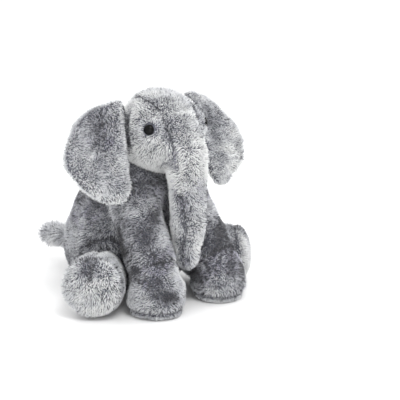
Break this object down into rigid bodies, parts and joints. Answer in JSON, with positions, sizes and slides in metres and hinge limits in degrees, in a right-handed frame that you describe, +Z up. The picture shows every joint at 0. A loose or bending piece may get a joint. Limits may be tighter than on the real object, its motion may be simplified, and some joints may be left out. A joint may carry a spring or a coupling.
{
  "type": "stuffed elephant",
  "caption": "Sitting plush elephant with a drooping trunk, big ears, club-shaped front legs and splayed hind legs; a soft toy whose sewn limbs bend and spring back",
  "frame": {"origin": "On the floor, at the middle of the toy's footprint", "axes": "+X is the elephant's own left, -Y is where it faces, +Z is up"},
  "size_m": [0.3294, 0.368, 0.297],
  "materials": {
    "grey_plush": "mottled grey long-pile plush",
    "light_plush": "light grey long-pile plush",
    "dark_plush": "dark grey long-pile plush",
    "eye_plastic": "glossy black",
    "washer_plastic": "plain white",
    "fibre_filling": "white loose polyester fibre",
    "cotton_bag": "unbleached woven cotton",
    "plastic_pellets": "milky white beads"
  },
  "bodies": {
    "torso": {"torso_left_panel": "grey_plush", "torso_right_panel": "grey_plush", "belly_panel": "dark_plush", "torso_stuffing": "fibre_filling", "pellet_bag": "cotton_bag", "pellets": "plastic_pellets"},
    "head": {"head_left_panel": "grey_plush", "head_right_panel": "grey_plush", "head_gusset": "light_plush", "chin_panel": "dark_plush", "head_stuffing": "fibre_filling", "eye_left": "eye_plastic", "eye_right": "eye_plastic", "eye_washer_left": "washer_plastic", "eye_washer_right": "washer_plastic"},
    "trunk_upper": {"trunk_upper_cover": "grey_plush", "trunk_upper_stuffing": "fibre_filling"},
    "trunk_lower": {"trunk_lower_cover": "grey_plush", "trunk_lower_stuffing": "fibre_filling"},
    "ear_left": {"ear_left_front_panel": "light_plush", "ear_left_back_panel": "grey_plush", "ear_left_wadding": "fibre_filling"},
    "ear_right": {"ear_right_front_panel": "light_plush", "ear_right_back_panel": "grey_plush", "ear_right_wadding": "fibre_filling"},
    "front_leg_left": {"front_leg_left_cover": "grey_plush", "front_leg_left_sole": "light_plush", "front_leg_left_stuffing": "fibre_filling"},
    "front_leg_right": {"front_leg_right_cover": "grey_plush", "front_leg_right_sole": "light_plush", "front_leg_right_stuffing": "fibre_filling"},
    "hind_leg_left": {"hind_leg_left_cover": "grey_plush", "hind_leg_left_sole": "light_plush", "hind_leg_left_stuffing": "fibre_filling"},
    "hind_leg_right": {"hind_leg_right_cover": "grey_plush", "hind_leg_right_sole": "light_plush", "hind_leg_right_stuffing": "fibre_filling"},
    "tail": {"tail_cover": "grey_plush", "tail_stuffing": "fibre_filling"}
  },
  "joints": [
    {"name": "neck_nod", "type": "hinge", "parent": "torso", "child": "head", "pos_m": [0, -0.086, 0.234], "axis": [-1, 0, 0], "range_deg": [0, 20], "stiffness_Nm_per_rad": 2},
    {"name": "trunk_upper_bend", "type": "hinge", "parent": "head", "child": "trunk_upper", "pos_m": [0, -0.144, 0.174], "axis": [-1, 0, 0], "range_deg": [0, 25], "stiffness_Nm_per_rad": 0.5},
    {"name": "trunk_lower_bend", "type": "hinge", "parent": "trunk_upper", "child": "trunk_lower", "pos_m": [0, -0.146, 0.116], "axis": [-1, 0, 0], "range_deg": [0, 25], "stiffness_Nm_per_rad": 0.4},
    {"name": "ear_flap_left", "type": "hinge", "parent": "head", "child": "ear_left", "pos_m": [0.06, -0.092, 0.202], "axis": [0.1293, -0.2069, -0.9698], "range_deg": [-20, 40], "stiffness_Nm_per_rad": 0.3},
    {"name": "ear_flap_right", "type": "hinge", "parent": "head", "child": "ear_right", "pos_m": [-0.06, -0.092, 0.202], "axis": [0.1293, 0.2069, 0.9698], "range_deg": [-20, 40], "stiffness_Nm_per_rad": 0.3},
    {"name": "front_leg_left_swing", "type": "hinge", "parent": "torso", "child": "front_leg_left", "pos_m": [0.044, -0.088, 0.132], "axis": [-0.766, -0.6428, 0], "range_deg": [0, 50], "stiffness_Nm_per_rad": 1.5},
    {"name": "front_leg_right_swing", "type": "hinge", "parent": "torso", "child": "front_leg_right", "pos_m": [-0.044, -0.088, 0.132], "axis": [-0.766, 0.6428, 0], "range_deg": [0, 50], "stiffness_Nm_per_rad": 1.5},
    {"name": "hind_leg_left_splay", "type": "hinge", "parent": "torso", "child": "hind_leg_left", "pos_m": [0.093, -0.068, 0.041], "axis": [0, 0, 1], "range_deg": [0, 25], "stiffness_Nm_per_rad": 1.5},
    {"name": "hind_leg_right_splay", "type": "hinge", "parent": "torso", "child": "hind_leg_right", "pos_m": [-0.093, -0.068, 0.041], "axis": [0, 0, -1], "range_deg": [0, 25], "stiffness_Nm_per_rad": 1.5},
    {"name": "tail_wag", "type": "hinge", "parent": "torso", "child": "tail", "pos_m": [0, 0.09, 0.044], "axis": [0, 0, 1], "range_deg": [-28, 28], "stiffness_Nm_per_rad": 0.2}
  ]
}
